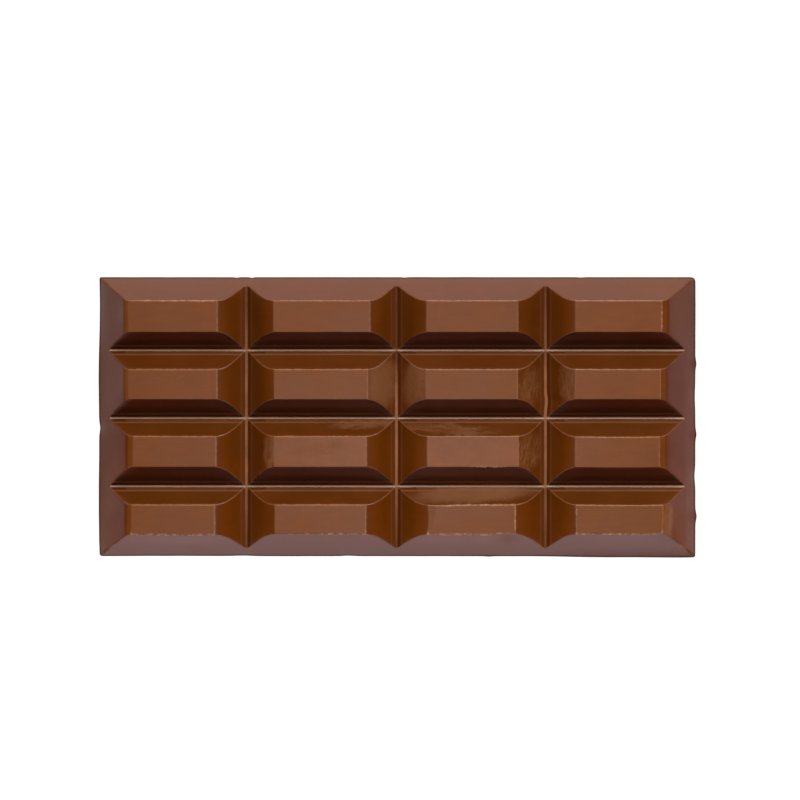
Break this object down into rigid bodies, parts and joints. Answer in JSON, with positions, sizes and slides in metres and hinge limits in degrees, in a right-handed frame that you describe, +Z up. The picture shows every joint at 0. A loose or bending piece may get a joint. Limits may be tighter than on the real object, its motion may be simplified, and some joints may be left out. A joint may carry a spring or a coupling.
{
  "type": "chocolate bar",
  "caption": "Moulded milk chocolate bar, a flat oblong slab whose top is a grid of hipped oblong blocks parted by V grooves for snapping.",
  "frame": {"origin": "middle of the flat underside", "axes": "+X along the bar, +Y across it, +Z up out of the grooved top"},
  "size_m": [0.16, 0.0748, 0.009],
  "materials": {
    "milk_chocolate": "satin milk chocolate, glossy where the mould was smooth and dull where it was scuffed"
  },
  "bodies": {
    "root": {"chocolate_bar": "milk_chocolate"}
  },
  "joints": []
}
